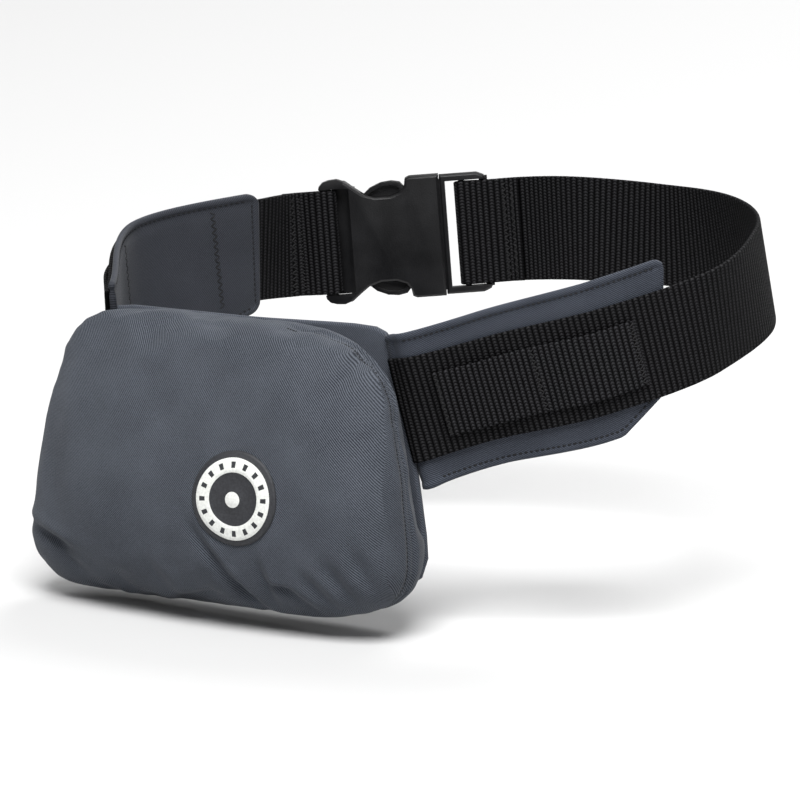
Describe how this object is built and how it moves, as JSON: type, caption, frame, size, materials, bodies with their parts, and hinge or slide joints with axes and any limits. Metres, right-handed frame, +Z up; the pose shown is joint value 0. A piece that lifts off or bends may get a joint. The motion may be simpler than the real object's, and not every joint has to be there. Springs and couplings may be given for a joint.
{
  "type": "inflatable belt pack",
  "caption": "Waist belt pack: a stuffed cloth pouch with padded wings, webbing belt, narrow gear strips and a side-release buckle, set as if worn.",
  "frame": {"origin": "on the axis of the wearer's waist, at the height of the belt", "axes": "+Z up along the wearer's body, -Y ahead through the pouch, +X to the right of someone who faces the pouch"},
  "size_m": [0.3154, 0.2646, 0.1782],
  "materials": {
    "cloth": "slate grey twill",
    "padding": "slate grey twill over thin foam",
    "webbing": "ribbed black webbing",
    "plastic": "satin black",
    "rubber": "soft, off-white and dark grey"
  },
  "bodies": {
    "root": {"pouch_cover": "cloth", "back_panel": "padding", "wing_right": "padding", "wing_left": "padding", "belt_long": "webbing", "belt_short": "webbing", "gear_strip_right": "webbing", "gear_strip_left": "webbing", "badge": "rubber", "buckle_female": "plastic", "buckle_male": "plastic"}
  },
  "joints": []
}
